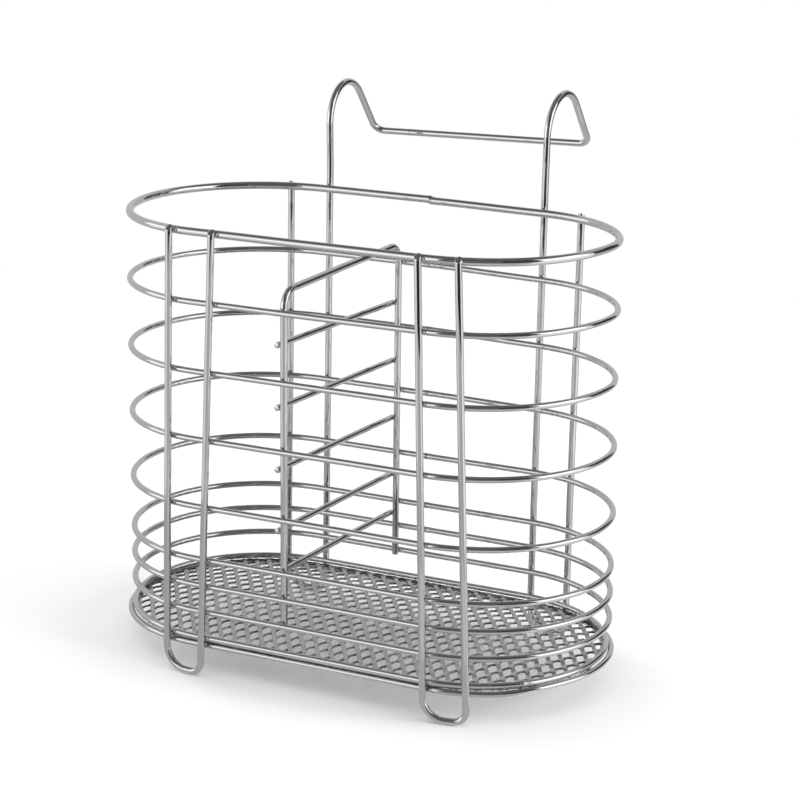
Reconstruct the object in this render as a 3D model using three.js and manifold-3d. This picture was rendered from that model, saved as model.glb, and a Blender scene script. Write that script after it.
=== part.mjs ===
// Cutlery drainer: a stadium-shaped basket of welded round wire on an expanded-metal floor, with a wire
// divider and a pair of hooks that hang it on a rail. Millimetres, +Z up, +Y to the back (the hook side),
// origin on the standing surface under the middle of the basket.
import * as THREE from "three";
import { mergeGeometries, mergeVertices } from "three/addons/utils/BufferGeometryUtils.js";
import Module from "manifold-3d";

const wasm = await Module();
wasm.setup();

// Wire gauges and the hairline left between welded pieces
const RIM_WIRE = 3.1;
const UPRIGHT_WIRE = 2.8;
const HOOP_WIRE = 2.4;
const WELD_GAP = 0.2;

// Plan of a hoop, on the middle of its wire
const HALF_LENGTH = 100;
const HALF_DEPTH = 51.6;

// Heights
const FLOOR_HEIGHT = 13.8;
const LOW_PITCH = 10.85;
const MIDDLE_STEP = 21.5;
const OPEN_PITCH = 27.15;
const LOW_HOOPS = 3;
const OPEN_HOOPS = 4;

// Floor sheet: its edge is held between the base rings, and it swells upwards in the middle
const SHEET_THICKNESS = 0.5;
const SHEET_INSET = 0.5;
const SHEET_BORDER = 1.5;
const SHEET_CROWN = 3.6;
const DIAMOND_LENGTH = 15.5;
const DIAMOND_WIDTH = 8.6;
const STRAND_WIDTH = 1.9;
const SMALLEST_OPENING = 6;

// Lower base ring against the hoops
const LOWER_RING_OVERHANG = 2.3;
const LOWER_RING_INSET = 1;

// Hairpins: places along the length are measured from the middle of the left and right pair
const FRONT_SHIFT = 3;
const FRONT_TOP_PLACE = 51.4;
const FRONT_FOOT_PLACE = 56.8;
const LEFT_TOP_SPREAD = 18.9;
const RIGHT_TOP_SPREAD = 15.3;
const FRONT_FOOT_SPREAD = 16.4;
const REAR_TOP_SHIFT = 2.4;
const REAR_FOOT_SHIFT = 1;
const REAR_PLACE = 56.6;
const REAR_SPREAD = 17.1;

// Feet: the wire is bent over a larger round on the left than on the right
const FOOT_FLAT = 2.4;
const FOOT_LEFT_SHARE = 0.65;

// Upright tops: cut off aslant, with the tip against the rim
const TIP_ABOVE_RIM = 0.8;
const TIP_CUT = 2;

// Hooks and their cross bar: the hooks lean outwards, and the bar rises to the right
const HOOK_BEND = 16;
const HOOK_FALL_ANGLE = 50;
const BAR_REACH = 98;
const BAR_ABOVE_RIM = 18.9;
const BAR_RISE = 2.3;
const BAR_BEND = 4.5;
const HOOK_LEG_START = 10;
const HOOK_LEAN = 0.9;

// Divider
const DIVIDER_PLACE = -11;
const DIVIDER_BELOW_RIM = 19.3;
const DIVIDER_BEND = 7;
const FIRST_RUNG_DROP = 23;
const RUNG_PITCH = 24.6;
const LAST_RUNG_PITCH = 17.1;
const EVEN_RUNGS = 4;
const RUNG_FALL = 4;

// Facets: eight flats round a wire, one step every fifteen degrees of a bend
const WIRE_SIDES = 8;
const BEND_STEP = Math.PI / 12;

// Tolerances: points closer than these count as one, and a cutter is three sheets high
const SAME_STATION = 0.001;
const SAME_CORNER = 0.0001;
const SHORTEST_EDGE = 0.05;
const CUTTER_LAYERS = 3;

// Worked-out sizes
const clampStack = SHEET_THICKNESS / 2 + WELD_GAP + HOOP_WIRE / 2;
const upperRingHeight = FLOOR_HEIGHT + clampStack;
const lowerRingHeight = FLOOR_HEIGHT - clampStack;
const topLowHoop = upperRingHeight + LOW_HOOPS * LOW_PITCH;
const rimHeight = topLowHoop + MIDDLE_STEP + OPEN_HOOPS * OPEN_PITCH;
const rimInset = (RIM_WIRE - HOOP_WIRE) / 2;
const outsideOffset = (HOOP_WIRE + UPRIGHT_WIRE) / 2 + WELD_GAP;
const hoopPlan = { length: HALF_LENGTH, depth: HALF_DEPTH };
const rimPlan = { length: HALF_LENGTH - rimInset, depth: HALF_DEPTH - rimInset };
const lowerPlan = { length: HALF_LENGTH + LOWER_RING_OVERHANG, depth: HALF_DEPTH - LOWER_RING_INSET };
const sheetPlan = { length: HALF_LENGTH - SHEET_INSET, depth: HALF_DEPTH - SHEET_INSET };
const openPlan = { length: sheetPlan.length - SHEET_BORDER, depth: sheetPlan.depth - SHEET_BORDER };

// An equal-area polygon stands for the round section: its corners lie outside the circle, its flats inside
const cornerRatio = Math.sqrt((2 * Math.PI) / (WIRE_SIDES * Math.sin((2 * Math.PI) / WIRE_SIDES)));
const flatRatio = cornerRatio * Math.cos(Math.PI / WIRE_SIDES);
const footHeight = (UPRIGHT_WIRE / 2) * flatRatio;
const tipHeight = rimHeight + RIM_WIRE / 2 + TIP_ABOVE_RIM - TIP_CUT / 2;

const drainer = new THREE.Group();
drainer.name = "cutlery_drainer";

function brightPlate(color, roughness) {
  return new THREE.MeshStandardMaterial({ color, roughness, metalness: 1 });
}

function addPiece(name, geometry, material) {
  const mesh = new THREE.Mesh(geometry, material);
  mesh.name = name;
  drainer.add(mesh);
}

// Stations along a wire: straight runs between corners, with a round bend at each inner corner
function bendStations(corners, bends, closed) {
  const stations = [];
  const count = corners.length;
  corners.forEach((corner, index) => {
    if (!closed && (index === 0 || index === count - 1)) {
      const from = corners[Math.max(index - 1, 0)];
      const to = corners[Math.min(index + 1, count - 1)];
      stations.push({ point: corner.clone(), tangent: to.clone().sub(from).normalize() });
      return;
    }
    const inward = corner.clone().sub(corners[(index + count - 1) % count]).normalize();
    const outward = corners[(index + 1) % count].clone().sub(corner).normalize();
    const turn = inward.angleTo(outward);
    const setback = bends[index] * Math.tan(turn / 2);
    const axis = inward.clone().cross(outward).normalize();
    const start = corner.clone().addScaledVector(inward, -setback);
    const toCentre = axis.clone().cross(inward);
    const centre = start.clone().addScaledVector(toCentre, bends[index]);
    const steps = Math.max(1, Math.round(turn / BEND_STEP));
    for (let step = 0; step <= steps; step += 1) {
      const angle = (turn * step) / steps;
      const spoke = toCentre.clone().multiplyScalar(-bends[index]).applyAxisAngle(axis, angle);
      const tangent = inward.clone().applyAxisAngle(axis, angle);
      stations.push({ point: centre.clone().add(spoke), tangent });
    }
  });
  const last = stations[stations.length - 1];
  return stations.filter((station, index) => {
    const before = index > 0 ? stations[index - 1] : closed ? last : null;
    return !before || before.point.distanceTo(station.point) > SAME_STATION;
  });
}

// Section directions carried along a wire without twist, both ways from the station that holds the given side
function carrySides(stations, side, anchor) {
  const lay = (station, wanted) => {
    const along = wanted.dot(station.tangent);
    station.side = wanted.clone().addScaledVector(station.tangent, -along).normalize();
  };
  const carry = (from, to) => {
    const turn = new THREE.Quaternion().setFromUnitVectors(from.tangent, to.tangent);
    lay(to, from.side.clone().applyQuaternion(turn));
  };
  lay(stations[anchor], side);
  for (let index = anchor + 1; index < stations.length; index += 1) {
    carry(stations[index - 1], stations[index]);
  }
  for (let index = anchor - 1; index >= 0; index -= 1) {
    carry(stations[index + 1], stations[index]);
  }
  return stations;
}

// A solid wire of even-sided section through its stations; an open end is square, or aslant if it has a cut
function sweepWire(stations, wire, closed) {
  const radius = (wire / 2) * cornerRatio;
  const positions = [];
  const indices = [];
  for (const { point, tangent, side, cut } of stations) {
    const across = tangent.clone().cross(side);
    for (let corner = 0; corner < WIRE_SIDES; corner += 1) {
      const angle = ((corner + 0.5) / WIRE_SIDES) * 2 * Math.PI;
      const spoke = side.clone().multiplyScalar(radius * Math.cos(angle));
      spoke.addScaledVector(across, radius * Math.sin(angle));
      const vertex = point.clone().add(spoke);
      if (cut) {
        vertex.addScaledVector(tangent, cut.dot(spoke));
      }
      positions.push(vertex.x, vertex.y, vertex.z);
    }
  }
  const runs = closed ? stations.length : stations.length - 1;
  for (let run = 0; run < runs; run += 1) {
    const near = run * WIRE_SIDES;
    const far = ((run + 1) % stations.length) * WIRE_SIDES;
    for (let corner = 0; corner < WIRE_SIDES; corner += 1) {
      const next = (corner + 1) % WIRE_SIDES;
      indices.push(near + corner, near + next, far + next);
      indices.push(near + corner, far + next, far + corner);
    }
  }
  if (!closed) {
    const end = (stations.length - 1) * WIRE_SIDES;
    for (let corner = 1; corner < WIRE_SIDES - 1; corner += 1) {
      indices.push(0, corner + 1, corner);
      indices.push(end, end + corner, end + corner + 1);
    }
  }
  const geometry = new THREE.BufferGeometry();
  geometry.setAttribute("position", new THREE.Float32BufferAttribute(positions, 3));
  geometry.setIndex(indices);
  geometry.computeVertexNormals();
  return geometry;
}

const UP = new THREE.Vector3(0, 0, 1);
const BACK = new THREE.Vector3(0, 1, 0);
const SIDEWAYS = new THREE.Vector3(1, 0, 0);

// A closed ring: straight sides and half-round ends
function ring(plan, height, wire) {
  const { length, depth } = plan;
  const corners = [
    new THREE.Vector3(-length, -depth, height),
    new THREE.Vector3(length, -depth, height),
    new THREE.Vector3(length, depth, height),
    new THREE.Vector3(-length, depth, height),
  ];
  const stations = bendStations(corners, [depth, depth, depth, depth], true);
  return sweepWire(carrySides(stations, UP, 0), wire, true);
}

// Depth at which an upright at this place along the length lies against a ring
function leanDepth(plan, offset, place) {
  const straight = plan.length - plan.depth;
  const round = Math.max(0, Math.abs(place) - straight);
  return Math.sqrt((plan.depth + offset) ** 2 - round ** 2);
}

function uprightDepth(place) {
  return Math.max(leanDepth(hoopPlan, outsideOffset, place), leanDepth(lowerPlan, outsideOffset, place));
}

// Two uprights joined by a round foot, from the top of the first upright to the top of the second
function hairpinStations(topPlaces, footPlaces, topHeights, facing) {
  const at = (place, height) => new THREE.Vector3(place, facing * uprightDepth(place), height);
  const corners = [
    at(topPlaces[0], topHeights[0]),
    at(footPlaces[0], footHeight),
    at(footPlaces[1], footHeight),
    at(topPlaces[1], topHeights[1]),
  ];
  const bent = Math.abs(footPlaces[1] - footPlaces[0]) - FOOT_FLAT;
  const firstIsLeft = footPlaces[0] < footPlaces[1];
  const firstBend = bent * (firstIsLeft ? FOOT_LEFT_SHARE : 1 - FOOT_LEFT_SHARE);
  const stations = bendStations(corners, [0, firstBend, bent - firstBend, 0], false);
  const outward = new THREE.Vector3(0, (facing * TIP_CUT) / UPRIGHT_WIRE, 0);
  stations[0].cut = outward;
  stations[stations.length - 1].cut = outward.clone().negate();
  const anchor = stations.length / 2;
  const footLine = corners[2].clone().sub(corners[1]);
  return carrySides(stations, footLine.cross(UP), anchor);
}

// Places of the outer and the inner upright of a hairpin
function hairpinPlaces(hand, shift, place, spread) {
  return [shift + hand * (place + spread / 2), shift + hand * (place - spread / 2)];
}

function frontHairpin(hand, topSpread) {
  const tops = hairpinPlaces(hand, FRONT_SHIFT, FRONT_TOP_PLACE, topSpread);
  const feet = hairpinPlaces(hand, FRONT_SHIFT, FRONT_FOOT_PLACE, FRONT_FOOT_SPREAD);
  return sweepWire(hairpinStations(tops, feet, [tipHeight, tipHeight], -1), UPRIGHT_WIRE, false);
}

// The back wire: a hairpin at each hand, whose inner uprights run on over the hooks into the cross bar
function rearHanger() {
  const leftTops = hairpinPlaces(-1, REAR_TOP_SHIFT, REAR_PLACE, REAR_SPREAD);
  const leftFeet = hairpinPlaces(-1, REAR_FOOT_SHIFT, REAR_PLACE, REAR_SPREAD);
  const rightTops = hairpinPlaces(1, REAR_TOP_SHIFT, REAR_PLACE, REAR_SPREAD).reverse();
  const rightFeet = hairpinPlaces(1, REAR_FOOT_SHIFT, REAR_PLACE, REAR_SPREAD).reverse();
  const leftHook = leftTops[1];
  const rightHook = rightTops[0];
  const hookStart = rimHeight + HOOK_LEG_START;
  const barHeight = rimHeight + BAR_ABOVE_RIM;
  const fall = THREE.MathUtils.degToRad(HOOK_FALL_ANGLE);
  const legPoint = (place, height) => new THREE.Vector3(place, uprightDepth(place), height);
  const barEnd = (hook, hand) =>
    new THREE.Vector3(hook + hand * HOOK_LEAN, BAR_REACH, barHeight + (hand * BAR_RISE) / 2);
  const crest = (end) => legPoint(end.x, end.z + (BAR_REACH - uprightDepth(end.x)) * Math.tan(fall));
  const leftEnd = barEnd(leftHook, -1);
  const rightEnd = barEnd(rightHook, 1);
  const hookCorners = [
    legPoint(leftHook, hookStart),
    crest(leftEnd),
    leftEnd,
    rightEnd,
    crest(rightEnd),
    legPoint(rightHook, hookStart),
  ];
  const hookBends = [0, HOOK_BEND, BAR_BEND, BAR_BEND, HOOK_BEND, 0];
  const hooks = carrySides(bendStations(hookCorners, hookBends, false), BACK, 0);
  const leftFoot = hairpinStations(leftTops, leftFeet, [tipHeight, hookStart], 1);
  const rightFoot = hairpinStations(rightTops, rightFeet, [hookStart, tipHeight], 1);
  const stations = [...leftFoot.slice(0, -1), ...hooks, ...rightFoot.slice(1)];
  return sweepWire(stations, UPRIGHT_WIRE, false);
}

// Divider: an upside-down U inside the hoops, reaching down to the lowest hoop
const dividerDepth = HALF_DEPTH - outsideOffset;
const dividerTop = rimHeight - DIVIDER_BELOW_RIM;
const dividerFoot = upperRingHeight + LOW_PITCH - HOOP_WIRE / 2;

function dividerFrame() {
  const corners = [
    new THREE.Vector3(DIVIDER_PLACE, -dividerDepth, dividerFoot),
    new THREE.Vector3(DIVIDER_PLACE, -dividerDepth, dividerTop),
    new THREE.Vector3(DIVIDER_PLACE, dividerDepth, dividerTop),
    new THREE.Vector3(DIVIDER_PLACE, dividerDepth, dividerFoot),
  ];
  const stations = bendStations(corners, [0, DIVIDER_BEND, DIVIDER_BEND, 0], false);
  return sweepWire(carrySides(stations, SIDEWAYS, 0), UPRIGHT_WIRE, false);
}

// A rung lies against the left side of both divider uprights and falls a little towards the back
function dividerRung(height) {
  const place = DIVIDER_PLACE - outsideOffset;
  const reach = dividerDepth + UPRIGHT_WIRE / 2;
  const corners = [
    new THREE.Vector3(place, -reach, height + RUNG_FALL / 2),
    new THREE.Vector3(place, reach, height - RUNG_FALL / 2),
  ];
  return sweepWire(carrySides(bendStations(corners, [0, 0], false), SIDEWAYS, 0), HOOP_WIRE, false);
}

// Points round a stadium plan, one step every fifteen degrees of its ends
function planOutline(plan) {
  const steps = Math.round(Math.PI / BEND_STEP);
  const points = [];
  for (const hand of [1, -1]) {
    for (let step = 0; step <= steps; step += 1) {
      const angle = (Math.PI * step) / steps - Math.PI / 2;
      const x = hand * (plan.length - plan.depth + plan.depth * Math.cos(angle));
      points.push(new THREE.Vector2(x, hand * plan.depth * Math.sin(angle)));
    }
  }
  return points;
}

// The part of a convex opening that lies inside a convex outline that runs anticlockwise
function clipOpening(opening, outline) {
  let kept = opening;
  outline.forEach((from, index) => {
    const edge = outline[(index + 1) % outline.length].clone().sub(from);
    const side = (point) => edge.cross(point.clone().sub(from));
    const next = [];
    kept.forEach((point, place) => {
      const following = kept[(place + 1) % kept.length];
      const here = side(point);
      const there = side(following);
      if (here >= 0) {
        next.push(point);
      }
      if (here * there < 0) {
        next.push(point.clone().lerp(following, here / (here - there)));
      }
    });
    kept = next;
  });
  return kept.filter((point, index) => point.distanceTo(kept[(index + 1) % kept.length]) > SHORTEST_EDGE);
}

// Rise of the floor sheet above its clamped edge
function crownRise(x, y) {
  const straight = openPlan.length - openPlan.depth;
  const out = Math.hypot(Math.max(0, Math.abs(x) - straight), y) / openPlan.depth;
  return SHEET_CROWN * Math.max(0, 1 - out * out);
}

// A plate of this outline, and a closed geometry as a solid that can be cut
function plate(outline, thickness, bottom) {
  const shape = new THREE.Shape(outline);
  const geometry = new THREE.ExtrudeGeometry(shape, { depth: thickness, bevelEnabled: false });
  geometry.deleteAttribute("normal");
  geometry.deleteAttribute("uv");
  return geometry.translate(0, 0, bottom);
}

function solid(geometry) {
  const merged = mergeVertices(geometry, SAME_CORNER);
  const vertProperties = merged.getAttribute("position").array;
  return new wasm.Manifold(new wasm.Mesh({ numProp: 3, vertProperties, triVerts: merged.index.array }));
}

// Expanded-metal floor: staggered rows of diamonds, clipped to the part of the sheet inside the rings
function meshFloor() {
  const outline = planOutline(openPlan);
  const slant = Math.hypot(DIAMOND_LENGTH, DIAMOND_WIDTH);
  const shrink = (STRAND_WIDTH * slant) / (2 * DIAMOND_LENGTH * DIAMOND_WIDTH);
  const halfWidth = DIAMOND_WIDTH * (0.5 - shrink);
  const halfLength = DIAMOND_LENGTH * (0.5 - shrink);
  const rows = Math.ceil(sheetPlan.depth / (DIAMOND_LENGTH / 2));
  const columns = Math.ceil(sheetPlan.length / DIAMOND_WIDTH);
  const cutterHeight = CUTTER_LAYERS * SHEET_THICKNESS;
  const openings = [];
  for (let row = -rows; row <= rows; row += 1) {
    for (let column = -columns; column <= columns; column += 1) {
      const x = (column + (row % 2 === 0 ? 0 : 0.5)) * DIAMOND_WIDTH;
      const y = (row * DIAMOND_LENGTH) / 2;
      const diamond = [
        new THREE.Vector2(x + halfWidth, y),
        new THREE.Vector2(x, y + halfLength),
        new THREE.Vector2(x - halfWidth, y),
        new THREE.Vector2(x, y - halfLength),
      ];
      const opening = clipOpening(diamond, outline);
      if (opening.length > 2 && THREE.ShapeUtils.area(opening) > SMALLEST_OPENING) {
        openings.push(plate(opening, cutterHeight, FLOOR_HEIGHT - cutterHeight / 2));
      }
    }
  }
  const sheet = plate(planOutline(sheetPlan), SHEET_THICKNESS, FLOOR_HEIGHT - SHEET_THICKNESS / 2);
  const cut = solid(sheet).subtract(solid(mergeGeometries(openings))).getMesh();
  const geometry = new THREE.BufferGeometry();
  const position = new THREE.Float32BufferAttribute(cut.vertProperties, 3);
  for (let index = 0; index < position.count; index += 1) {
    const rise = crownRise(position.getX(index), position.getY(index));
    position.setZ(index, position.getZ(index) + rise);
  }
  geometry.setAttribute("position", position);
  geometry.setIndex(new THREE.Uint32BufferAttribute(cut.triVerts, 1));
  geometry.computeVertexNormals();
  return geometry;
}

// Rings, from the rim down
addPiece("rim_ring", ring(rimPlan, rimHeight, RIM_WIRE), brightPlate(0xd9dbdd, 0.12));
for (let hoop = 1; hoop <= OPEN_HOOPS + LOW_HOOPS; hoop += 1) {
  const open = hoop <= OPEN_HOOPS;
  const openHeight = rimHeight - hoop * OPEN_PITCH;
  const lowHeight = topLowHoop - (hoop - OPEN_HOOPS - 1) * LOW_PITCH;
  const height = open ? openHeight : lowHeight;
  addPiece("hoop_" + hoop, ring(hoopPlan, height, HOOP_WIRE), brightPlate(0xd4d6d8, 0.14));
}
addPiece("base_ring_upper", ring(hoopPlan, upperRingHeight, HOOP_WIRE), brightPlate(0xd4d6d8, 0.14));
addPiece("base_ring_lower", ring(lowerPlan, lowerRingHeight, HOOP_WIRE), brightPlate(0xcfd1d3, 0.16));
addPiece("mesh_floor", meshFloor(), brightPlate(0xb9bbbd, 0.3));

// Uprights, feet and hooks
addPiece("front_left_hairpin", frontHairpin(-1, LEFT_TOP_SPREAD), brightPlate(0xd6d8da, 0.13));
addPiece("front_right_hairpin", frontHairpin(1, RIGHT_TOP_SPREAD), brightPlate(0xd6d8da, 0.13));
addPiece("rear_hanger", rearHanger(), brightPlate(0xd6d8da, 0.13));

// Divider
addPiece("divider_frame", dividerFrame(), brightPlate(0xd2d4d6, 0.14));
for (let rung = 1; rung <= EVEN_RUNGS + 1; rung += 1) {
  const evenDrop = FIRST_RUNG_DROP + (Math.min(rung, EVEN_RUNGS) - 1) * RUNG_PITCH;
  const drop = rung > EVEN_RUNGS ? evenDrop + LAST_RUNG_PITCH : evenDrop;
  addPiece("divider_rung_" + rung, dividerRung(dividerTop - drop), brightPlate(0xcdcfd1, 0.16));
}

export default drainer;
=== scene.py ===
"""Cutlery drainer in bright plated wire: the dressed model, its studio and its camera."""

import math

import bpy
from mathutils import Matrix, Vector, noise


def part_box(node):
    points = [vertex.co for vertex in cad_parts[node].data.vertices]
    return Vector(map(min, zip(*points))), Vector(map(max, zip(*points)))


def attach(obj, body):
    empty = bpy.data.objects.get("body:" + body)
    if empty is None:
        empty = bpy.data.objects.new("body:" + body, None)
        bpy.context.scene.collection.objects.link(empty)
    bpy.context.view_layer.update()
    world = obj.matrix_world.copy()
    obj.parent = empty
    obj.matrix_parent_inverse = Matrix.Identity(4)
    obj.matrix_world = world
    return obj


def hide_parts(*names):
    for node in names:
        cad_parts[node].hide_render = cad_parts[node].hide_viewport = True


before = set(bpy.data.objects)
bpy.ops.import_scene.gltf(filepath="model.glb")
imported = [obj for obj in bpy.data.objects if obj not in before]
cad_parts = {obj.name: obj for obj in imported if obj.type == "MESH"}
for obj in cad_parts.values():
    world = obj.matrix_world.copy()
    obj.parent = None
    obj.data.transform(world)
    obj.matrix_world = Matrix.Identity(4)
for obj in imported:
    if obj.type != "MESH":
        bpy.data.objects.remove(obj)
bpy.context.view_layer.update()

# The wires waver the same way every time
NOISE_SEED = 3
noise.seed_set(NOISE_SEED)

# Driving dimensions of the solids, in metres
MM = 0.001
RIM_WIRE = 3.1 * MM
UPRIGHT_WIRE = 2.8 * MM
HOOP_WIRE = 2.4 * MM
HOOP_COUNT = 7
RUNG_COUNT = 5
WELD_GAP = 0.2 * MM
HALF_LENGTH = 100 * MM
HALF_DEPTH = 51.6 * MM
LOWER_RING_OVERHANG = 2.3 * MM
LOWER_RING_INSET = 1 * MM
FRONT_SHIFT = 3 * MM
FRONT_TOP_PLACE = 51.4 * MM
FRONT_FOOT_PLACE = 56.8 * MM
LEFT_TOP_SPREAD = 18.9 * MM
RIGHT_TOP_SPREAD = 15.3 * MM
FRONT_FOOT_SPREAD = 16.4 * MM
REAR_TOP_SHIFT = 2.4 * MM
REAR_FOOT_SHIFT = 1 * MM
REAR_PLACE = 56.6 * MM
REAR_SPREAD = 17.1 * MM
FOOT_FLAT = 2.4 * MM
FOOT_LEFT_SHARE = 0.65
TIP_ABOVE_RIM = 0.8 * MM
TIP_CUT = 2 * MM
HOOK_BEND = 16 * MM
HOOK_FALL_ANGLE = math.radians(50)
HOOK_LEG_START = 10 * MM
HOOK_LEAN = 0.9 * MM
BAR_REACH = 98 * MM
BAR_ABOVE_RIM = 18.9 * MM
BAR_RISE = 2.3 * MM
BAR_BEND = 4.5 * MM
DIVIDER_PLACE = -11 * MM
DIVIDER_BEND = 7 * MM
SHEET_THICKNESS = 0.5 * MM
SHEET_INSET = 0.5 * MM
SHEET_BORDER = 1.5 * MM
SHEET_CROWN = 3.6 * MM

# The real sheet, finer than in the solids: pitch, openings, and the section and twist of its strands
DIAMOND_LENGTH = 10.8 * MM
DIAMOND_WIDTH = 6 * MM
OPENING_LENGTH = 7.6 * MM
OPENING_WIDTH = 4.1 * MM
STRAND_TILT = math.radians(17)
STRAND_THICKNESS = 0.75 * MM
STRAND_SIDES = 4
ROW_TURN = math.radians(3)
COLUMN_TURN = math.radians(5)

# How uneven the sheet is, where it lies flat and how far the pattern starts past its outline
STRAND_WAVER = 0.14 * MM
STRAND_WAVER_LENGTH = 7 * MM
TILT_WAVER = 0.3
SHEET_WAVE = 0.25 * MM
SHEET_WAVE_LENGTH = 20 * MM
FLAT_EDGE = 5 * MM
EDGE_BAND_SHARE = 0.8
SPARE_STRANDS = 3

# Steps along the wires, their slow waver and their worn ends as pairs of depth and size
WIRE_SIDES = 20
PATH_STEP = 1.4 * MM
BEND_STEP = math.radians(3)
EXTRA_BEND_STEPS = 2
WAVER = 0.1 * MM
WAVER_LENGTH = 45 * MM
END_EASE = ((0, 0.8), (0.06, 0.92), (0.16, 0.98))

# A wire that starts less steeply than this, where 1 is upright, takes its first side from above
STEEP = 0.9

# Added before rounding, so that a run is split upwards and a run of no length is dropped
ROUND_UP = 0.49

# Butt joints that show: their places, their swelling and their seams
REAR_BUTT = 2 * MM
BASE_BUTT = Vector((84 * MM, -37 * MM))
BAR_BUTT = -30 * MM
BUTT_WIDTH = 1.6 * MM
BUTT_SWELL = 0.08
BUTT_PARTS = 8
SEAM_WIDTH = 0.45 * MM
SEAM_GROOVE = 0.1
GROOVE_WIDTH = 0.22 * MM
FAINT_BUTT = 0.3

# Welds: the reach of the duller, darker spot, which is part weld tint and part painted contact shade where
# the wires cross, and the waisted neck as pairs of place and size in millimetres
WELD_REACH = 0.75 * MM
NECK_SIDES = 14
NECK_OUTLINE = ((-0.5, 0.95), (-0.25, 0.78), (0, 0.7), (0.25, 0.78), (0.5, 0.95))
NECK_RAGGED = 0.16
NECK_NOISE_SCALE = 900

# Small bends and cuts of the real wires: the rim's step, the right rear corner, the right end and the tips
RIM_STEP = 0.45 * MM
CORNER_SAG = 1 * MM
SAG_RUN = 60 * MM
SAG_START = -15 * MM
SAG_DEPTH = 45 * MM
LOW_TOP = 123 * MM
LOW_RUN = 54 * MM
END_BULGE = 1.1 * MM
BULGE_START = 60 * MM
BULGE_RUN = 40 * MM
RING_LIFT = 1.3 * MM
LIFT_START = 75 * MM
LIFT_RUN = 20 * MM
REAR_TIP_DROP = 0.3 * MM
RUNG_CROP = 0.9 * MM

UP = Vector((0, 0, 1))
BACK = Vector((0, 1, 0))
SIDEWAYS = Vector((1, 0, 0))
SQUARE = ((-1, -1), (1, -1), (1, 1), (-1, 1))


def middle_height(node):
    low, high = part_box(node)
    return (low.z + high.z) / 2


hoop_names = ["hoop_%d" % number for number in range(1, HOOP_COUNT + 1)]
rung_names = ["divider_rung_%d" % number for number in range(1, RUNG_COUNT + 1)]
rim_height = middle_height("rim_ring")
upper_height = middle_height("base_ring_upper")
lower_height = middle_height("base_ring_lower")
floor_height = (upper_height + lower_height) / 2
foot_height = UPRIGHT_WIRE / 2
tip_height = rim_height + RIM_WIRE / 2 + TIP_ABOVE_RIM - TIP_CUT / 2
outside_offset = (HOOP_WIRE + UPRIGHT_WIRE) / 2 + WELD_GAP
rim_inset = (RIM_WIRE - HOOP_WIRE) / 2
hoop_plan = (HALF_LENGTH, HALF_DEPTH)
rim_plan = (HALF_LENGTH - rim_inset, HALF_DEPTH - rim_inset)
lower_plan = (HALF_LENGTH + LOWER_RING_OVERHANG, HALF_DEPTH - LOWER_RING_INSET)
sheet_plan = (HALF_LENGTH - SHEET_INSET, HALF_DEPTH - SHEET_INSET)
open_plan = (sheet_plan[0] - SHEET_BORDER, sheet_plan[1] - SHEET_BORDER)
divider_depth = HALF_DEPTH - outside_offset
divider_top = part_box("divider_frame")[1].z - UPRIGHT_WIRE / 2
divider_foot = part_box("divider_frame")[0].z


# Paths


def bend_path(corners, bends, closed=False):
    """Straight runs between corners with a round bend at each, as closely spaced points."""
    points = []
    count = len(corners)
    for index, corner in enumerate(corners):
        if not closed and index in (0, count - 1):
            points.append(corner.copy())
            continue
        inward = (corner - corners[index - 1]).normalized()
        outward = (corners[(index + 1) % count] - corner).normalized()
        turn = inward.angle(outward)
        axis = inward.cross(outward).normalized()
        to_centre = axis.cross(inward)
        start = corner - inward * (bends[index] * math.tan(turn / 2))
        centre = start + to_centre * bends[index]
        steps = round(turn / BEND_STEP) + EXTRA_BEND_STEPS if bends[index] else 0
        for step in range(steps + 1):
            spoke = Matrix.Rotation(turn * step / max(1, steps), 3, axis) @ to_centre
            points.append(centre - spoke * bends[index])
    return fill_runs(points, closed)


def fill_runs(points, closed):
    """The same path with extra points along its long straight runs and repeated points dropped."""
    filled = []
    last = len(points) if closed else len(points) - 1
    for index in range(last):
        here = points[index]
        there = points[(index + 1) % len(points)]
        parts = round((there - here).length / PATH_STEP + ROUND_UP)
        filled.extend(here.lerp(there, part / parts) for part in range(parts))
    if not closed:
        filled.append(points[-1])
    return filled


def denser(path, butts, closed):
    """The same path with closer points beside its butt joints, so that their seams stay narrow."""
    dense = []
    last = len(path) if closed else len(path) - 1
    for index in range(last):
        here = path[index]
        there = path[(index + 1) % len(path)]
        beside = any((here.lerp(there, 0.5) - butt).length < 2 * BUTT_WIDTH for butt in butts)
        parts = BUTT_PARTS if beside else 1
        dense.extend(here.lerp(there, part / parts) for part in range(parts))
    if not closed:
        dense.append(path[-1])
    return dense


def waver(points):
    """Drawn wire is never quite straight: a slow sideways drift far smaller than its thickness."""
    return [point + noise.noise_vector(point / WAVER_LENGTH) * WAVER for point in points]


def ease(share):
    share = max(0, min(1, share))
    return share * share * (3 - 2 * share)


def lowness(point):
    """0 from the second hoop up and 1 from the fourth hoop down."""
    return ease((LOW_TOP - point.z) / LOW_RUN)


def sagged(point, step=0):
    """The upper rings hang low at the right rear corner, and the rim drops a step at its butt joint."""
    sag = CORNER_SAG * (1 - lowness(point))
    drop = step + (sag - step) * ease(point.x / SAG_RUN)
    if point.x < REAR_BUTT:
        drop = 0
    return point - UP * drop * ease((point.y - SAG_START) / SAG_DEPTH)


def bent_end(point, bulge, lift):
    """At the right end the lower hoops reach a little further, and the lowest ring is bent up."""
    out = bulge * lowness(point) * ease((point.x - BULGE_START) / BULGE_RUN)
    return point + SIDEWAYS * out + UP * lift * ease((point.x - LIFT_START) / LIFT_RUN)


def ring_path(plan, height, step=0, bulge=0, lift=0):
    length, depth = plan
    corners = [Vector((x * length, y * depth, height)) for x, y in SQUARE]
    path = bend_path(corners, [depth] * len(SQUARE), closed=True)
    return [bent_end(sagged(point, step), bulge, lift) for point in path]


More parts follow.
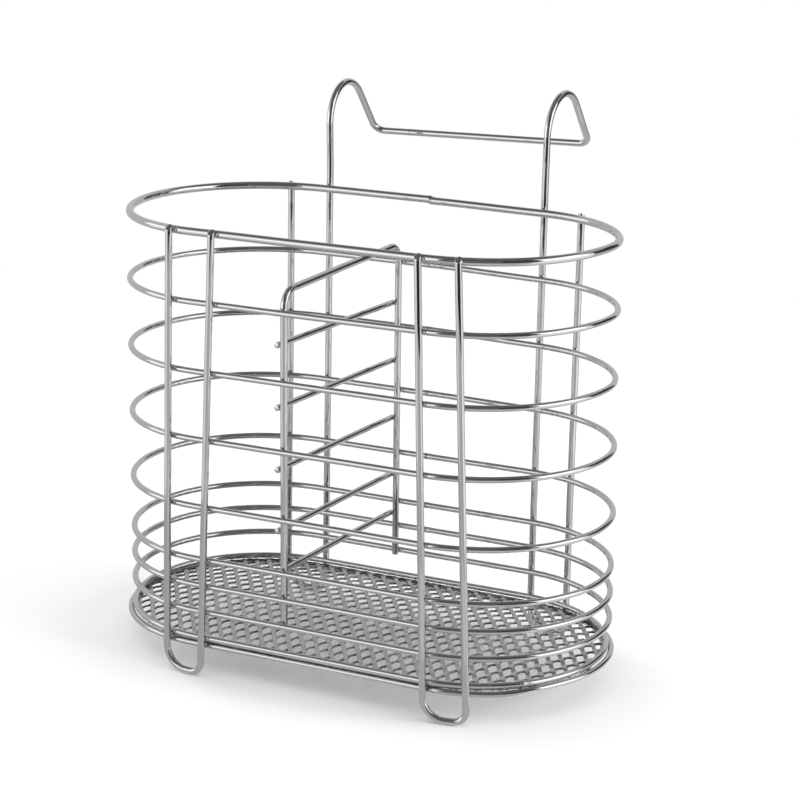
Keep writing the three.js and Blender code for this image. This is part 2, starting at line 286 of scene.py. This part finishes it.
def plan_normal(plan, point):
    """Direction in plan from a ring's middle line out to a point beside it."""
    straight = plan[0] - plan[1]
    middle = Vector((max(-straight, min(straight, point.x)), 0, 0))
    return Vector((point.x - middle.x, point.y, 0)).normalized()


def lean_depth(plan, place):
    past = max(0, abs(place) - (plan[0] - plan[1]))
    return math.sqrt((plan[1] + outside_offset) ** 2 - past**2)


def upright_depth(place):
    return max(lean_depth(hoop_plan, place), lean_depth(lower_plan, place))


def hairpin_corners(tops, feet, top_heights, facing):
    def at(place, height):
        return Vector((place, facing * upright_depth(place), height))

    return [
        at(tops[0], top_heights[0]),
        at(feet[0], foot_height),
        at(feet[1], foot_height),
        at(tops[1], top_heights[1]),
    ]


def foot_bends(corners):
    """Rounds of a foot's two bends, in the order of its corners: the left one is larger."""
    run = corners[2].x - corners[1].x
    bent = abs(run) - FOOT_FLAT
    first = bent * (FOOT_LEFT_SHARE if run > 0 else 1 - FOOT_LEFT_SHARE)
    return [first, bent - first]


def hairpin_places(hand, shift, place, spread):
    """Places of the outer and the inner upright of a hairpin."""
    return [shift + hand * (place + spread / 2), shift + hand * (place - spread / 2)]


def front_corners(hand):
    top_spread = LEFT_TOP_SPREAD if hand < 0 else RIGHT_TOP_SPREAD
    tops = hairpin_places(hand, FRONT_SHIFT, FRONT_TOP_PLACE, top_spread)
    feet = hairpin_places(hand, FRONT_SHIFT, FRONT_FOOT_PLACE, FRONT_FOOT_SPREAD)
    return hairpin_corners(tops, feet, [tip_height, tip_height], -1)


def rear_corners(hand):
    tops = hairpin_places(hand, REAR_TOP_SHIFT, REAR_PLACE, REAR_SPREAD)
    feet = hairpin_places(hand, REAR_FOOT_SHIFT, REAR_PLACE, REAR_SPREAD)
    tip = tip_height - REAR_TIP_DROP - (CORNER_SAG if hand > 0 else 0)
    return hairpin_corners(tops, feet, [tip, rim_height + HOOK_LEG_START], 1)


def hook_corners(leg, hand):
    """From a rear upright over the hook to the end of the cross bar."""
    place = leg.x + hand * HOOK_LEAN
    depth = upright_depth(place)
    bar_height = rim_height + BAR_ABOVE_RIM + hand * BAR_RISE / 2
    crest = bar_height + (BAR_REACH - depth) * math.tan(HOOK_FALL_ANGLE)
    return [Vector((place, depth, crest)), Vector((place, BAR_REACH, bar_height))]


def rear_hanger_path():
    left = rear_corners(-1)
    right = rear_corners(1)
    left_hook = hook_corners(left[3], -1)
    right_hook = hook_corners(right[3], 1)
    corners = left + left_hook + right_hook[::-1] + right[::-1]
    hooks = [0, HOOK_BEND, BAR_BEND, BAR_BEND, HOOK_BEND, 0]
    bends = [0, *foot_bends(left), *hooks, *foot_bends(right)[::-1], 0]
    return bend_path(corners, bends)


def rung_ends(name):
    low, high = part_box(name)
    place = (low.x + high.x) / 2
    half = HOOP_WIRE / 2
    return Vector((place, low.y + RUNG_CROP, high.z - half)), Vector((place, high.y, low.z + half))


# Welds, found where the wires cross


def leg_at(top, foot, height):
    return top.lerp(foot, (top.z - height) / (top.z - foot.z))


legs = []
for corners in (front_corners(-1), front_corners(1), rear_corners(-1), rear_corners(1)):
    legs.append((corners[0], corners[1]))
    legs.append((corners[3], corners[2]))

rings = [("rim_ring", rim_plan, rim_height, RIM_WIRE)]
rings += [(name, hoop_plan, middle_height(name), HOOP_WIRE) for name in hoop_names]
rings.append(("base_ring_upper", hoop_plan, upper_height, HOOP_WIRE))
rings.append(("base_ring_lower", lower_plan, lower_height, HOOP_WIRE))

welds = []
for _, plan, height, _ in rings:
    for top, foot in legs:
        on_leg = leg_at(top, foot, height)
        outward = plan_normal(plan, on_leg)
        welds.append((sagged(on_leg) - outward * (UPRIGHT_WIRE + WELD_GAP) / 2, outward))

divider_legs = [Vector((DIVIDER_PLACE, side * divider_depth, 0)) for side in (-1, 1)]
for leg in divider_legs:
    outward = Vector((0, math.copysign(1, leg.y), 0))
    for name in hoop_names:
        spot = leg + outward * (UPRIGHT_WIRE + WELD_GAP) / 2
        welds.append((Vector((spot.x, spot.y, middle_height(name))), outward))

for name in rung_names:
    front, back = rung_ends(name)
    for leg in divider_legs:
        spot = front.lerp(back, (leg.y - front.y) / (back.y - front.y))
        welds.append((Vector((DIVIDER_PLACE - (UPRIGHT_WIRE + WELD_GAP) / 2, spot.y, spot.z)), SIDEWAYS))

weld_spots = [spot for spot, _ in welds]


# Meshes


def make_object(name, vertices, faces, smooth=True):
    mesh = bpy.data.meshes.new(name)
    mesh.from_pydata(vertices, [], faces)
    mesh.polygons.foreach_set("use_smooth", [smooth] * len(mesh.polygons))
    made = bpy.data.objects.new(name, mesh)
    bpy.context.collection.objects.link(made)
    return made


def mark_mesh(made, name, domain, values):
    """A number for each point or face of a mesh, which its material reads."""
    mark = made.data.attributes.new(name, "FLOAT", domain)
    mark.data.foreach_set("value", values)


def tube_faces(base, count, sides, closed):
    """Faces of a tube through rings of points, numbered from base on, with flat ends if it isn't closed."""
    faces = []
    runs = count if closed else count - 1
    for run in range(runs):
        near = base + run * sides
        far = base + (run + 1) % count * sides
        for corner in range(sides):
            after = (corner + 1) % sides
            faces.append((near + corner, near + after, far + after, far + corner))
    if not closed:
        end = base + (count - 1) * sides
        faces.append(tuple(range(base + sides - 1, base - 1, -1)))
        faces.append(tuple(range(end, end + sides)))
    return faces


def carried_sides(path, closed):
    """A sideways direction at each point of a path, carried along without twist."""
    count = len(path)
    tangents = []
    for index in range(count):
        before = path[index - 1] if index or closed else path[index]
        after = path[(index + 1) % count] if index < count - 1 or closed else path[index]
        tangents.append((after - before).normalized())
    first = UP if abs(tangents[0].z) < STEEP else BACK
    side = (first - tangents[0] * first.dot(tangents[0])).normalized()
    sides = []
    for index, tangent in enumerate(tangents):
        if index:
            side = tangents[index - 1].rotation_difference(tangent) @ side
        side = (side - tangent * side.dot(tangent)).normalized()
        sides.append(side)
    return tangents, sides


def beside_butts(point, butts, width):
    """1 at a butt joint, falling to 0 away from it."""
    return sum(math.exp(-(((point - butt).length / width) ** 2)) for butt in butts)


def near_weld(point):
    """1 at a weld, falling to 0 away from it."""
    nearest = min((point - spot).length for spot in weld_spots)
    return math.exp(-((nearest / WELD_REACH) ** 2))


def eased_ends(sections):
    """Cropped wire ends with their edges worn round."""
    eased = []
    for index in (0, -1):
        point, tangent, side, size = sections[index]
        inward = tangent if index == 0 else -tangent
        ring = [(point + inward * size * depth, tangent, side, size * share) for depth, share in END_EASE]
        eased.append(ring if index == 0 else ring[::-1])
    return eased[0] + sections[1:-1] + eased[1]


def wire_mesh(name, path, wire, closed=False, butts=(), flash=1, outward=None):
    """A round wire along a path, swollen at its butt joints. Its ends are cut aslant if outward is set."""
    path = denser(waver(path), butts, closed)
    tangents, sides = carried_sides(path, closed)
    radius = wire / 2
    sections = []
    for index, point in enumerate(path):
        swell = BUTT_SWELL * beside_butts(point, butts, BUTT_WIDTH)
        groove = SEAM_GROOVE * beside_butts(point, butts, GROOVE_WIDTH)
        sections.append((point, tangents[index], sides[index], radius * (1 + flash * (swell - groove))))
    if not closed:
        sections = eased_ends(sections)
    vertices = []
    tint_and_shade = []
    for index, (point, tangent, side, size) in enumerate(sections):
        across = tangent.cross(side)
        at_end = min(index, len(sections) - 1 - index) < len(END_EASE)
        slant = tangent.z * TIP_CUT / wire if outward and at_end else 0
        for corner in range(WIRE_SIDES):
            angle = 2 * math.pi * corner / WIRE_SIDES
            spoke = (side * math.cos(angle) + across * math.sin(angle)) * size
            drop = slant * outward.dot(spoke) if slant else 0
            vertices.append(point + spoke - tangent * drop)
        # Darker at butt seams, and beside welds, where the darkening is weld tint together with painted
        # contact shade
        seam = flash * beside_butts(point, butts, SEAM_WIDTH)
        tint_and_shade += [near_weld(point) + seam] * WIRE_SIDES
    made = make_object(name, vertices, tube_faces(0, len(sections), WIRE_SIDES, closed))
    mark_mesh(made, "weld_tint_and_shade", "POINT", tint_and_shade)
    return made


def weld_necks():
    """The fused metal between crossing wires: a short waisted neck at each weld, with a ragged edge."""
    vertices = []
    faces = []
    for spot, axis in welds:
        side = axis.cross(UP).normalized()
        up = side.cross(axis)
        faces += tube_faces(len(vertices), len(NECK_OUTLINE), NECK_SIDES, closed=False)
        for along, size in NECK_OUTLINE:
            for step in range(NECK_SIDES):
                angle = 2 * math.pi * step / NECK_SIDES
                place = (spot + side * math.cos(angle) * MM) * NECK_NOISE_SCALE + up * math.sin(angle)
                rough = 1 + NECK_RAGGED * noise.noise(place)
                reach = size * rough * MM
                out = side * math.cos(angle) + up * math.sin(angle)
                vertices.append(spot + axis * along * MM + out * reach)
    made = make_object("weld_necks", vertices, faces)
    # The whole neck is marked dark: weld tint, and painted shade in the gap between the crossing wires
    mark_mesh(made, "weld_tint_and_shade", "POINT", [1.0] * len(vertices))
    return made


def plan_reach(plan, point):
    """How far out a point lies in a plan: 0 on its middle line, 1 on its edge."""
    straight = plan[0] - plan[1]
    return math.hypot(max(0, abs(point.x) - straight), point.y) / plan[1]


def crown_rise(point):
    return SHEET_CROWN * max(0, 1 - plan_reach(open_plan, point) ** 2)


def opening_reach(line, y):
    """How far the openings of one column line reach to either side of it at this depth."""
    first = (line % 2) * DIAMOND_LENGTH / 2
    past = (y - first) % DIAMOND_LENGTH
    nearest = min(past, DIAMOND_LENGTH - past)
    return OPENING_WIDTH / 2 * max(0, 1 - nearest / (OPENING_LENGTH / 2))


def strand_course(column):
    """One zigzag strand from front to back: its two edges, the line it tilts about, and the depth."""
    half_row = DIAMOND_LENGTH / 2
    half_bond = (DIAMOND_LENGTH - OPENING_LENGTH) / 2
    rows = math.ceil(sheet_plan[1] / half_row) + SPARE_STRANDS
    left = column * DIAMOND_WIDTH / 2
    right = left + DIAMOND_WIDTH / 2
    middle = (left + right) / 2
    course = []
    for row in range(-rows, rows + 1):
        pivot = right if (row + column) % 2 == 0 else left
        stations = ((-half_bond, pivot), (0, pivot), (half_bond, pivot), (half_row / 2, middle))
        for offset, line in stations:
            y = row * half_row + offset
            near = left + opening_reach(column, y)
            far = right - opening_reach(column + 1, y)
            course.append((near, far, line, y))
    return course


def turned(x, y):
    """The sheet was cut out a little askew, so its rows don't quite follow the basket."""
    across = Vector((math.cos(ROW_TURN), math.sin(ROW_TURN), 0))
    along = Vector((-math.sin(COLUMN_TURN), math.cos(COLUMN_TURN), 0))
    return across * x + along * y


def inside_run(course):
    """The part of a strand inside the sheet's outline, with its ends cut on the outline."""
    kept = []
    reaches = [plan_reach(sheet_plan, turned((left + right) / 2, y)) for left, right, _, y in course]
    for index, station in enumerate(course):
        if index and (reaches[index] - 1) * (reaches[index - 1] - 1) < 0:
            share = (1 - reaches[index - 1]) / (reaches[index] - reaches[index - 1])
            pairs = zip(course[index - 1], station)
            kept.append(tuple(before + (here - before) * share for before, here in pairs))
        if reaches[index] <= 1:
            kept.append(station)
    return kept


def sheet_point(x, line, y):
    """A point on the middle of the sheet, and the direction of the strand's upper face there."""
    flat = turned(x, y)
    free = min(1, max(0, (1 - plan_reach(sheet_plan, flat)) * sheet_plan[1] / FLAT_EDGE))
    slope = math.tan(STRAND_TILT) * free * (1 + TILT_WAVER * noise.noise(flat / STRAND_WAVER_LENGTH))
    wave = noise.noise(flat / SHEET_WAVE_LENGTH) * SHEET_WAVE * free
    drift = noise.noise_vector(flat / STRAND_WAVER_LENGTH) * STRAND_WAVER * free
    height = floor_height + crown_rise(flat) + wave + slope * (x - line)
    return Vector((flat.x + drift.x, flat.y + drift.y, height)), Vector((-slope, 0, 1)).normalized()


def expanded_sheet():
    """Expanded metal: zigzag strands side by side, twisted about their bonds, flat at the clamped edge."""
    vertices = []
    faces = []
    cut_and_shaded_faces = []
    columns = math.ceil(2 * sheet_plan[0] / DIAMOND_WIDTH) + SPARE_STRANDS
    for column in range(-columns, columns):
        course = inside_run(strand_course(column))
        if len(course) < 2:
            continue
        base = len(vertices)
        for left, right, line, y in course:
            low, normal = sheet_point(left, line, y)
            high, _ = sheet_point(right, line, y)
            half = normal * STRAND_THICKNESS / 2
            vertices += [low - half, high - half, high + half, low + half]
        for run in range(len(course) - 1):
            near = base + run * STRAND_SIDES
            far = near + STRAND_SIDES
            for corner in range(STRAND_SIDES):
                after = (corner + 1) % STRAND_SIDES
                faces.append((near + corner, far + corner, far + after, near + after))
                # Odd sides are the strand's cut edges, marked dark: a duller sheared edge, with painted
                # shade so that they read as dark bars
                cut_and_shaded_faces.append(corner % 2)
        end = base + (len(course) - 1) * STRAND_SIDES
        faces.append(tuple(range(base, base + STRAND_SIDES)))
        faces.append(tuple(range(end + STRAND_SIDES - 1, end - 1, -1)))
        cut_and_shaded_faces += [1, 1]
    add_edge_band(vertices, faces)
    # The edge band is marked dark all over: painted shade for the dark line between the base rings
    cut_and_shaded_faces += [1] * (len(faces) - len(cut_and_shaded_faces))
    made = make_object("expanded_sheet", vertices, faces, smooth=False)
    mark_mesh(made, "cut_edge_and_shade", "FACE", cut_and_shaded_faces)
    return made


def add_edge_band(vertices, faces):
    """The sheet's solid edge, held between the base rings."""
    half = SHEET_BORDER / 2
    thickness = SHEET_THICKNESS * EDGE_BAND_SHARE
    middle_plan = (sheet_plan[0] - half, sheet_plan[1] - half)
    path = ring_path(middle_plan, floor_height)
    faces += tube_faces(len(vertices), len(path), len(SQUARE), closed=True)
    for point in path:
        outward = plan_normal(middle_plan, point) * half
        for across, rise in SQUARE:
            vertices.append(point + outward * across + UP * (rise * thickness / 2))


# Materials

# Plating: its cloudiness, its drawn grain and the duller, darker patches beside welds and on sheared edges,
# whose darkness is partly painted shade
CLOUD_SCALE = 95
CLOUD_DETAIL = 4
CLOUD_RANGE = (0.35, 0.75)
GRAIN_SCALE = 1400
GRAIN_DETAIL = 2
GRAIN_HEIGHT = 0.02 * MM
DULL_ROUGHNESS = 0.08
PATCH_RANGE = (0.3, 0.6)
PATCH_DARKENING = (0.6, 1)


def add_node(tree, kind, values=None, **settings):
    """A new shader node with its settings and the values of its sockets."""
    node = tree.nodes.new(kind)
    for setting, value in settings.items():
        setattr(node, setting, value)
    for socket, value in (values or {}).items():
        node.inputs[socket].default_value = value
    return node


def link(tree, source, output, target, socket):
    tree.links.new(source.outputs[output], target.inputs[socket])


def ranged(tree, source, output, taken, given):
    """A node that turns one range of another node's output into the range given."""
    limits = {"From Min": taken[0], "From Max": taken[1], "To Min": given[0], "To Max": given[1]}
    node = add_node(tree, "ShaderNodeMapRange", limits)
    link(tree, source, output, node, "Value")
    return node


def plated_metal(name, grey, dull_and_shade_grey, roughness, grain, dull_and_shade_mark):
    """Bright plating, faintly cloudy, with a fine drawn grain, and duller and darker where the mesh is
    marked; the darkness is partly painted shade.
    """
    material = bpy.data.materials.new(name)
    material.use_nodes = True
    tree = material.node_tree
    shader = tree.nodes["Principled BSDF"]
    shader.inputs["Metallic"].default_value = 1
    place = add_node(tree, "ShaderNodeTexCoord")
    mark = add_node(tree, "ShaderNodeAttribute", attribute_name=dull_and_shade_mark)
    cloud = add_node(tree, "ShaderNodeTexNoise", {"Scale": CLOUD_SCALE, "Detail": CLOUD_DETAIL})
    link(tree, place, "Object", cloud, "Vector")
    rough = ranged(tree, cloud, "Fac", CLOUD_RANGE, roughness)
    worn = add_node(tree, "ShaderNodeMath", {1: DULL_ROUGHNESS}, operation="MULTIPLY_ADD")
    link(tree, mark, "Fac", worn, 0)
    link(tree, rough, "Result", worn, 2)
    link(tree, worn, "Value", shader, "Roughness")
    # Marked spots turn towards the dark grey in patches: part real dullness, part painted shade
    patches = ranged(tree, cloud, "Fac", PATCH_RANGE, PATCH_DARKENING)
    darkening = add_node(tree, "ShaderNodeMath", operation="MULTIPLY")
    link(tree, mark, "Fac", darkening, 0)
    link(tree, patches, "Result", darkening, 1)
    colours = {"A": (grey, grey, grey, 1), "B": (dull_and_shade_grey, dull_and_shade_grey, dull_and_shade_grey, 1)}
    tint = add_node(tree, "ShaderNodeMix", colours, data_type="RGBA")
    link(tree, darkening, "Value", tint, "Factor")
    link(tree, tint, "Result", shader, "Base Color")
    fine = add_node(tree, "ShaderNodeTexNoise", {"Scale": GRAIN_SCALE, "Detail": GRAIN_DETAIL})
    link(tree, place, "Object", fine, "Vector")
    bump = add_node(tree, "ShaderNodeBump", {"Strength": grain, "Distance": GRAIN_HEIGHT})
    link(tree, fine, "Fac", bump, "Height")
    link(tree, bump, "Normal", shader, "Normal")
    return material


# The dark greys of the wires paint weld tint together with contact shade at the crossings
rim_metal = plated_metal(
    "plated_rim", grey=0.65, dull_and_shade_grey=0.36, roughness=(0.02, 0.05), grain=0.06, dull_and_shade_mark="weld_tint_and_shade"
)
wire_metal = plated_metal(
    "plated_wire", grey=0.64, dull_and_shade_grey=0.34, roughness=(0.025, 0.055), grain=0.06, dull_and_shade_mark="weld_tint_and_shade"
)
# The near-black grey on the sheet's marked faces is mostly painted shade, over a duller sheared edge
sheet_metal = plated_metal(
    "plated_sheet", grey=0.56, dull_and_shade_grey=0.09, roughness=(0.22, 0.34), grain=0.3, dull_and_shade_mark="cut_edge_and_shade"
)


def finish_piece(piece, material, slot, *nodes):
    """Gives a piece its material, and says what it rides on and hides the solids it stands for; its slot is
    not used.
    """
    piece.data.materials.append(material)
    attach(piece, "root")
    if nodes:
        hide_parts(*nodes)


# Rim, hoops and base rings

for name, plan, height, wire in rings:
    butt = Vector((REAR_BUTT, plan[1], height))
    if name == "base_ring_upper":
        butt = Vector((BASE_BUTT.x, BASE_BUTT.y, height))
    step = RIM_STEP if name == "rim_ring" else 0
    bulge = END_BULGE if name in hoop_names else 0
    lift = RING_LIFT if name == "base_ring_lower" else 0
    path = ring_path(plan, height, step, bulge, lift)
    piece = wire_mesh(name + "_wire", path, wire, closed=True, butts=[butt])
    if name == "rim_ring":
        finish_piece(piece, rim_metal, "plated_rim", name)
    else:
        finish_piece(piece, wire_metal, "plated_wire", name)


# Front hairpins

for name, hand in (("front_left_hairpin", -1), ("front_right_hairpin", 1)):
    corners = front_corners(hand)
    path = bend_path(corners, [0, *foot_bends(corners), 0])
    piece = wire_mesh(name + "_wire", path, UPRIGHT_WIRE, outward=-BACK)
    finish_piece(piece, wire_metal, "plated_wire", name)


# Rear hanger

bar_left, bar_right = [hook_corners(rear_corners(hand)[3], hand)[1] for hand in (-1, 1)]
bar_butt = bar_left.lerp(bar_right, (BAR_BUTT - bar_left.x) / (bar_right.x - bar_left.x))
piece = wire_mesh(
    "rear_hanger_wire", rear_hanger_path(), UPRIGHT_WIRE, butts=[bar_butt], flash=FAINT_BUTT, outward=BACK
)
finish_piece(piece, wire_metal, "plated_wire", "rear_hanger")


# Divider frame and rungs

corners = [
    Vector((DIVIDER_PLACE, side * divider_depth, height))
    for side, height in ((-1, divider_foot), (-1, divider_top), (1, divider_top), (1, divider_foot))
]
path = bend_path(corners, [0, DIVIDER_BEND, DIVIDER_BEND, 0])
piece = wire_mesh("divider_frame_wire", path, UPRIGHT_WIRE)
finish_piece(piece, wire_metal, "plated_wire", "divider_frame")

for name in rung_names:
    path = fill_runs(list(rung_ends(name)), closed=False)
    piece = wire_mesh(name + "_wire", path, HOOP_WIRE)
    finish_piece(piece, wire_metal, "plated_wire", name)


# Weld necks and floor sheet

finish_piece(weld_necks(), wire_metal, "plated_wire")
finish_piece(expanded_sheet(), sheet_metal, "plated_sheet", "mesh_floor")


# Camera, at the photograph's viewing angle

AZIMUTH = math.radians(25.89)
ELEVATION = math.radians(15.62)
ROLL = math.radians(0.7)
DISTANCE = 0.9434
AIM = Vector((14.06 * MM, 0, 108.04 * MM))
LENS = 108.32
SENSOR_WIDTH = 36
CLIP_END = 20

level_share = math.cos(ELEVATION)
away = Vector((math.sin(AZIMUTH) * level_share, -math.cos(AZIMUTH) * level_share, math.sin(ELEVATION)))
right = Vector((math.cos(AZIMUTH), math.sin(AZIMUTH), 0))
top = away.cross(right)
turned_right = right * math.cos(ROLL) + top * math.sin(ROLL)
turned_top = top * math.cos(ROLL) - right * math.sin(ROLL)
camera = bpy.data.objects.new("camera", bpy.data.cameras.new("camera"))
bpy.context.collection.objects.link(camera)
camera.data.lens = LENS
camera.data.sensor_width = SENSOR_WIDTH
camera.data.clip_end = CLIP_END
camera.matrix_world = Matrix((turned_right, turned_top, away)).transposed().to_4x4()
camera.location = AIM + away * DISTANCE
bpy.context.scene.camera = camera


# Studio table: its grey, and in metres its half size and where the shadow's ground turns plain white

FLOOR_GREY = 0.97
FLOOR_HALF = 6
FLOOR_NEAR = 0.3
FLOOR_FAR = 0.75


def shared_ray(tree):
    """1 for what the camera sees, straight, mirrored or through something clear, and 0 for stray light."""
    rays = add_node(tree, "ShaderNodeLightPath")
    seen = add_node(tree, "ShaderNodeMath", operation="MAXIMUM")
    link(tree, rays, "Is Camera Ray", seen, 0)
    link(tree, rays, "Is Glossy Ray", seen, 1)
    through = add_node(tree, "ShaderNodeMath", operation="MAXIMUM")
    link(tree, seen, "Value", through, 0)
    link(tree, rays, "Is Transmission Ray", through, 1)
    return through


def floor_material():
    """Matt white that takes the shadow round the object and goes to plain white further off."""
    material = bpy.data.materials.new("studio_white")
    material.use_nodes = True
    tree = material.node_tree
    matt = tree.nodes["Principled BSDF"]
    matt.inputs["Base Color"].default_value = (FLOOR_GREY, FLOOR_GREY, FLOOR_GREY, 1)
    matt.inputs["Roughness"].default_value = 1
    matt.inputs["Specular IOR Level"].default_value = 0
    place = add_node(tree, "ShaderNodeTexCoord")
    length = add_node(tree, "ShaderNodeVectorMath", operation="LENGTH")
    link(tree, place, "Object", length, 0)
    far = ranged(tree, length, "Value", (FLOOR_NEAR, FLOOR_FAR), (0, 1))
    far.interpolation_type = "SMOOTHSTEP"
    share = add_node(tree, "ShaderNodeMath", operation="MULTIPLY")
    link(tree, far, "Result", share, 0)
    link(tree, shared_ray(tree), "Value", share, 1)
    white = add_node(tree, "ShaderNodeEmission", {"Color": (1, 1, 1, 1), "Strength": 1})
    mix = add_node(tree, "ShaderNodeMixShader")
    link(tree, share, "Value", mix, 0)
    link(tree, matt, "BSDF", mix, 1)
    link(tree, white, "Emission", mix, 2)
    link(tree, mix, "Shader", tree.nodes["Material Output"], "Surface")
    return material


floor_corners = [(x * FLOOR_HALF, y * FLOOR_HALF, 0) for x, y in SQUARE]
panel = make_object("studio_floor", floor_corners, [(0, 1, 2, 3)])
panel.data.materials.append(floor_material())


# Cards that the metal mirrors: their steps in degrees, and their distances in metres

CARD_STEP = 6
CARD_LIFT = 0.001
CARD_START = 0.06
DOME_RADIUS = 3
FOOT_TABLE = (0.14, 0.25)
NEAR_TABLE = 0.3
TABLE_EDGE = 0.7
BACK_EDGE = 0.9
TABLE_END = 2.8


def card_material(name, level):
    material = bpy.data.materials.new(name)
    material.use_nodes = True
    tree = material.node_tree
    glow = add_node(tree, "ShaderNodeEmission", {"Color": (level, level, level, 1)})
    link(tree, glow, "Emission", tree.nodes["Material Output"], "Surface")
    return material


def add_card(name, rows, level):
    """A glowing card through rows of points. It stands outside the picture and only shows in the metal."""
    across = len(rows[0])
    faces = []
    for row in range(len(rows) - 1):
        for column in range(across - 1):
            low = row * across + column
            faces.append((low, low + 1, low + across + 1, low + across))
    card = make_object(name, [point for row in rows for point in row], faces)
    card.data.materials.append(card_material(name, level))
    card.visible_camera = False
    card.visible_diffuse = False
    card.visible_shadow = False


def arc(azimuths, reach, height):
    """Points round the set between two azimuths from the front, at one distance and height."""
    columns = max(1, round((azimuths[1] - azimuths[0]) / CARD_STEP))
    points = []
    for column in range(columns + 1):
        turn = math.radians(azimuths[0] + (azimuths[1] - azimuths[0]) * column / columns)
        points.append((reach * math.sin(turn), -reach * math.cos(turn), height))
    return points


def dome_card(name, azimuths, elevations, level):
    """A curved card round the set, between two azimuths from the front and two elevations, in degrees."""
    steps = max(1, round((elevations[1] - elevations[0]) / CARD_STEP))
    rows = []
    for step in range(steps + 1):
        rise = math.radians(elevations[0] + (elevations[1] - elevations[0]) * step / steps)
        rows.append(arc(azimuths, DOME_RADIUS * math.cos(rise), DOME_RADIUS * math.sin(rise)))
    add_card(name, rows, level)


def table_card(name, azimuths, reaches, level, lift=CARD_LIFT):
    """A card lying on the table, between two azimuths and two distances from the object."""
    add_card(name, [arc(azimuths, reach, lift) for reach in reaches], level)


# Each card's azimuths, then its elevations or its distances, and its level
dome_card("dark_front_left", (-12, 40), (0, 38), 0.17)
dome_card("dark_front_top", (-12, 40), (38, 52), 0.06)
dome_card("dark_front_right", (40, 72), (0, 52), 0.07)
dome_card("dark_ceiling", (-180, 180), (48, 89), 0.15)
dome_card("dark_right_back", (124, 166), (0, 28), 0.05)
dome_card("grey_right_top", (118, 166), (28, 48), 0.42)
dome_card("grey_back", (166, 275), (0, 48), 0.61)
dome_card("left_softbox", (-82, -12), (0, 28), 1.5)
dome_card("grey_left_top", (-85, -12), (28, 48), 0.59)
dome_card("right_softbox", (74, 118), (0, 42), 1.75)
# The table cards that start close to the object are grey there: painted shade of the floor round the
# object, which only shows in the metal
table_card("front_table", (-14, 66), (CARD_START, TABLE_EDGE), 0.54)
table_card("right_foot_table", (14, 54), FOOT_TABLE, 0.72, 2 * CARD_LIFT)
table_card("dark_ground", (-7, 70), (TABLE_EDGE, TABLE_END), 0.03)
table_card("left_front_near", (-78, -14), (CARD_START, NEAR_TABLE), 0.5)
table_card("left_front_far", (-78, -14), (NEAR_TABLE, TABLE_EDGE), 0.9)
table_card("left_table", (-140, -78), (CARD_START, NEAR_TABLE), 0.46)
table_card("left_far", (-140, -78), (NEAR_TABLE, TABLE_END), 0.6)
table_card("right_table", (66, 122), (CARD_START, NEAR_TABLE), 0.84)
table_card("right_far", (74, 122), (NEAR_TABLE, BACK_EDGE), 1.13)
table_card("right_back_table", (122, 166), (CARD_START, BACK_EDGE), 0.58)
table_card("dark_back_ground", (124, 166), (BACK_EDGE, TABLE_END), 0.08)
table_card("back_table", (166, 220), (CARD_START, TABLE_END), 0.63)


# Light: an even sky, whiter where it is seen, and three softboxes that the metal doesn't mirror

AMBIENT_LEVEL = 0.58
SEEN_LEVEL = 1

world = bpy.data.worlds.new("studio")
bpy.context.scene.world = world
world.use_nodes = True
sky = world.node_tree.nodes["Background"]
sky.inputs["Color"].default_value = (1, 1, 1, 1)
rays = shared_ray(world.node_tree)
sky_level = ranged(world.node_tree, rays, "Value", (0, 1), (AMBIENT_LEVEL, SEEN_LEVEL))
link(world.node_tree, sky_level, "Result", sky, "Strength")


def softbox(name, size, watts, place):
    lamp = bpy.data.objects.new(name, bpy.data.lights.new(name, "AREA"))
    bpy.context.collection.objects.link(lamp)
    lamp.data.shape = "RECTANGLE"
    lamp.data.size, lamp.data.size_y = size
    lamp.data.energy = watts
    lamp.location = place
    lamp.rotation_euler = (AIM - place).to_track_quat("-Z", "Y").to_euler()
    lamp.visible_glossy = False


softbox("key", size=(2, 2), watts=8, place=Vector((0.2, -0.5, 1.6)))
softbox("left_fill", size=(1.2, 0.9), watts=16, place=Vector((-1.5, 0.3, 0.46)))
softbox("right_fill", size=(1.2, 0.9), watts=24, place=Vector((1.5, 0, 0.46)))

bpy.context.scene.view_settings.view_transform = "Standard"
